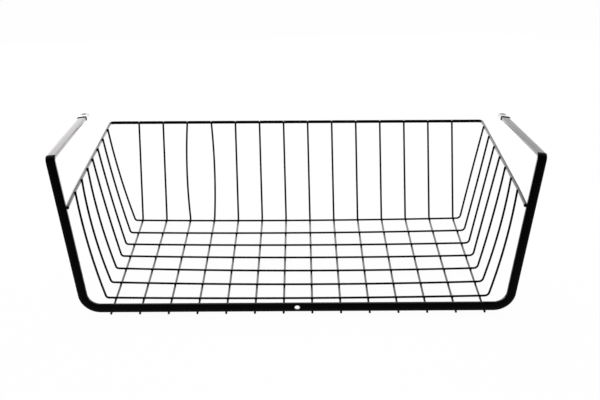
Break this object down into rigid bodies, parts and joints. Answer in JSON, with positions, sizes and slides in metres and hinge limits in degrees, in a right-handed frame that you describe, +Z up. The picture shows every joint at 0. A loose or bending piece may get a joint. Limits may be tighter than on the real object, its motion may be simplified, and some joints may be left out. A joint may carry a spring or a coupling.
{
  "type": "under shelf basket",
  "caption": "Welded wire basket with a flat steel front frame whose two long arms slide over a shelf board, so that the open-topped basket hangs below the shelf.",
  "frame": {"origin": "under the middle of the basket, level with the underside of the floor wires", "axes": "+X to the right along the width, +Y from the open front to the back rail, +Z up"},
  "size_m": [0.4136, 0.245, 0.1534],
  "materials": {
    "black_coat": "smooth glossy black coating over steel",
    "clear_plastic": "clear, slightly cloudy soft plastic"
  },
  "bodies": {
    "root": {"front_frame": "black_coat", "rim_wire": "black_coat", "cross_wire_1": "black_coat", "cross_wire_2": "black_coat", "cross_wire_3": "black_coat", "cross_wire_4": "black_coat", "cross_wire_5": "black_coat", "cross_wire_6": "black_coat", "cross_wire_7": "black_coat", "long_wire_01": "black_coat", "long_wire_02": "black_coat", "long_wire_03": "black_coat", "long_wire_04": "black_coat", "long_wire_05": "black_coat", "long_wire_06": "black_coat", "long_wire_07": "black_coat", "long_wire_08": "black_coat", "long_wire_09": "black_coat", "long_wire_10": "black_coat", "long_wire_11": "black_coat", "long_wire_12": "black_coat", "long_wire_13": "black_coat", "long_wire_14": "black_coat", "arm_cap_left": "clear_plastic", "arm_cap_right": "clear_plastic"}
  },
  "joints": []
}
